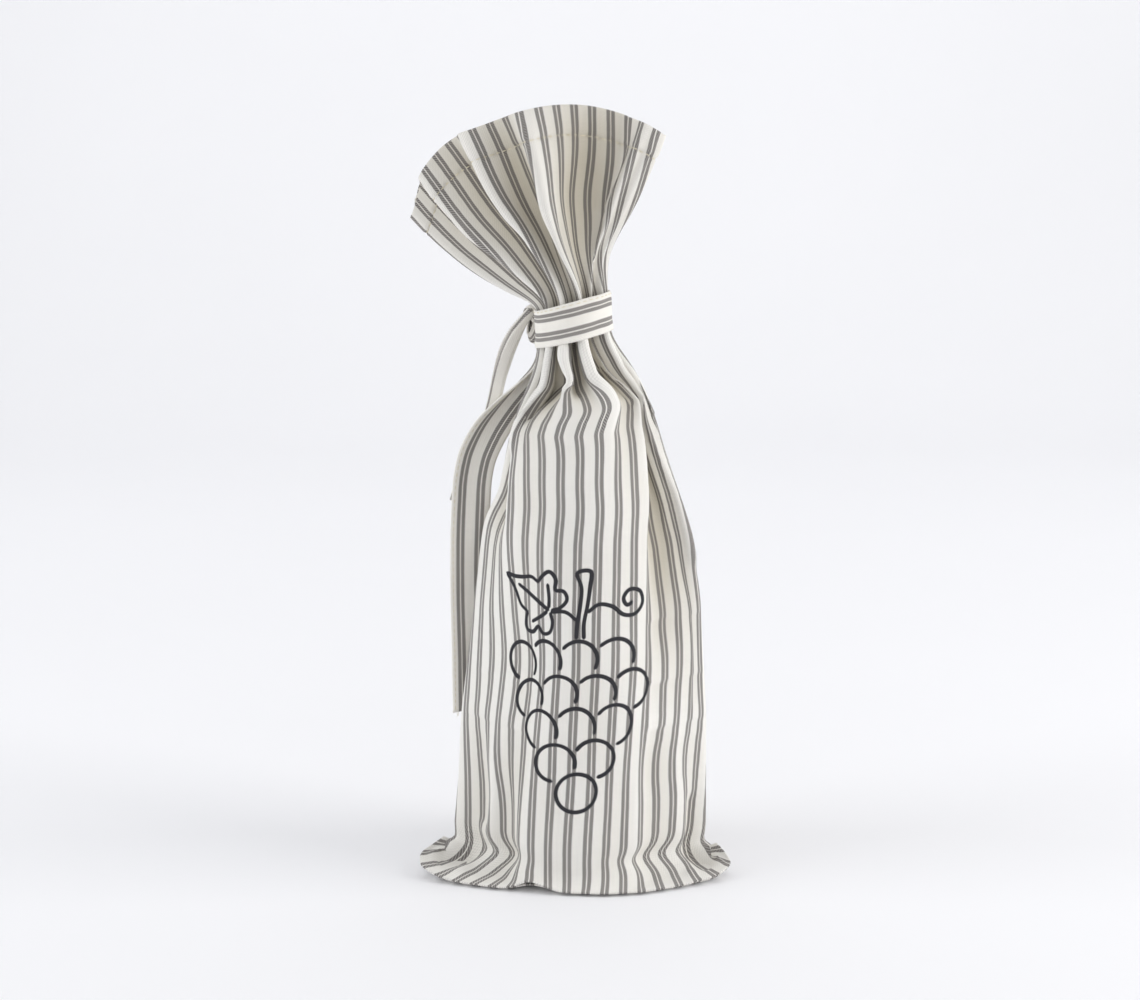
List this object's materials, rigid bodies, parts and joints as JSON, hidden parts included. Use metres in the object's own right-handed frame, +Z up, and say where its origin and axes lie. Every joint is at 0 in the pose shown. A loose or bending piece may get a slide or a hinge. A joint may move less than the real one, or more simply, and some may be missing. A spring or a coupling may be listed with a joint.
{
  "type": "canvas wine bag",
  "caption": "Free-standing striped canvas wine bag, gathered and tied at the neck with a flat tape, its mouth fanned out above the tie, hollow inside.",
  "frame": {"origin": "middle of the bag's footprint, on the surface it stands on", "axes": "+Z up from the floor to the mouth, +X to the right seen from the printed front, +Y from the front towards the back"},
  "size_m": [0.1465, 0.0942, 0.355],
  "materials": {
    "striped_canvas": "matte cotton canvas with a dark grey double stripe",
    "striped_tape": "matte cotton tape with two dark grey double stripes"
  },
  "bodies": {
    "root": {"front_panel": "striped_canvas", "back_panel": "striped_canvas", "tie_band": "striped_tape", "tie_knot": "striped_tape", "tie_tail_wide": "striped_tape", "tie_tail_thin": "striped_tape"}
  },
  "joints": []
}
